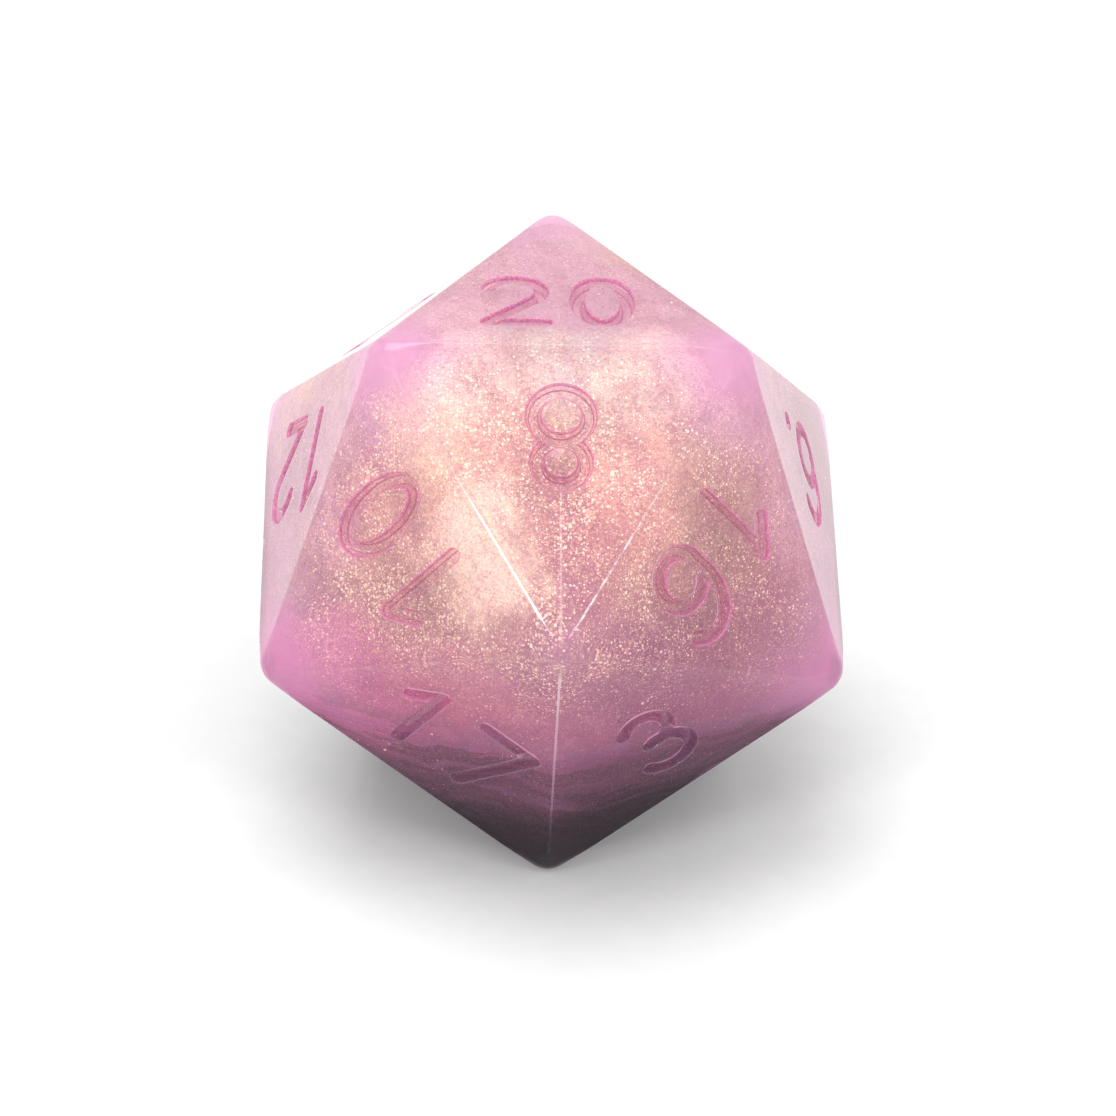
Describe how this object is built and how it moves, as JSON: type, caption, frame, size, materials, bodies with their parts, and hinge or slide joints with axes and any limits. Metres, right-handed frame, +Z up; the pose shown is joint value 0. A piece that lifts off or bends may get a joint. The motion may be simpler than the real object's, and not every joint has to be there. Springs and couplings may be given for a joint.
{
  "type": "twenty-sided die",
  "caption": "Twenty-sided translucent resin game die with engraved numerals and a sealed liquid glitter core that turns freely inside.",
  "frame": {"origin": "centre of the face that the die rests on (the 1 face), at the bottom of the part", "axes": "+Z up through the 20 face; -Y to the front, under the 8 face; +X to the viewer's right"},
  "size_m": [0.0214, 0.0242, 0.02],
  "materials": {
    "smoke_resin": "polished dark purple translucent resin",
    "rose_resin_lower": "polished rose translucent resin",
    "rose_resin_upper": "polished rose translucent resin",
    "clear_shell": "clear resin",
    "plug_resin": "clear resin",
    "glitter_liquid": "champagne and rose mica and glitter in oil"
  },
  "bodies": {
    "casting": {"casting_base_pour": "smoke_resin", "casting_lower_pour": "rose_resin_lower", "casting_upper_pour": "rose_resin_upper", "core_shell_lower": "clear_shell", "core_shell_upper": "clear_shell", "core_fill_plug": "plug_resin"},
    "liquid": {"core_glitter_liquid": "glitter_liquid"}
  },
  "joints": [
    {"name": "liquid_swirl", "type": "hinge", "parent": "casting", "child": "liquid", "pos_m": [0, 0, 0.01], "axis": [0, 0, 1], "continuous": true}
  ]
}
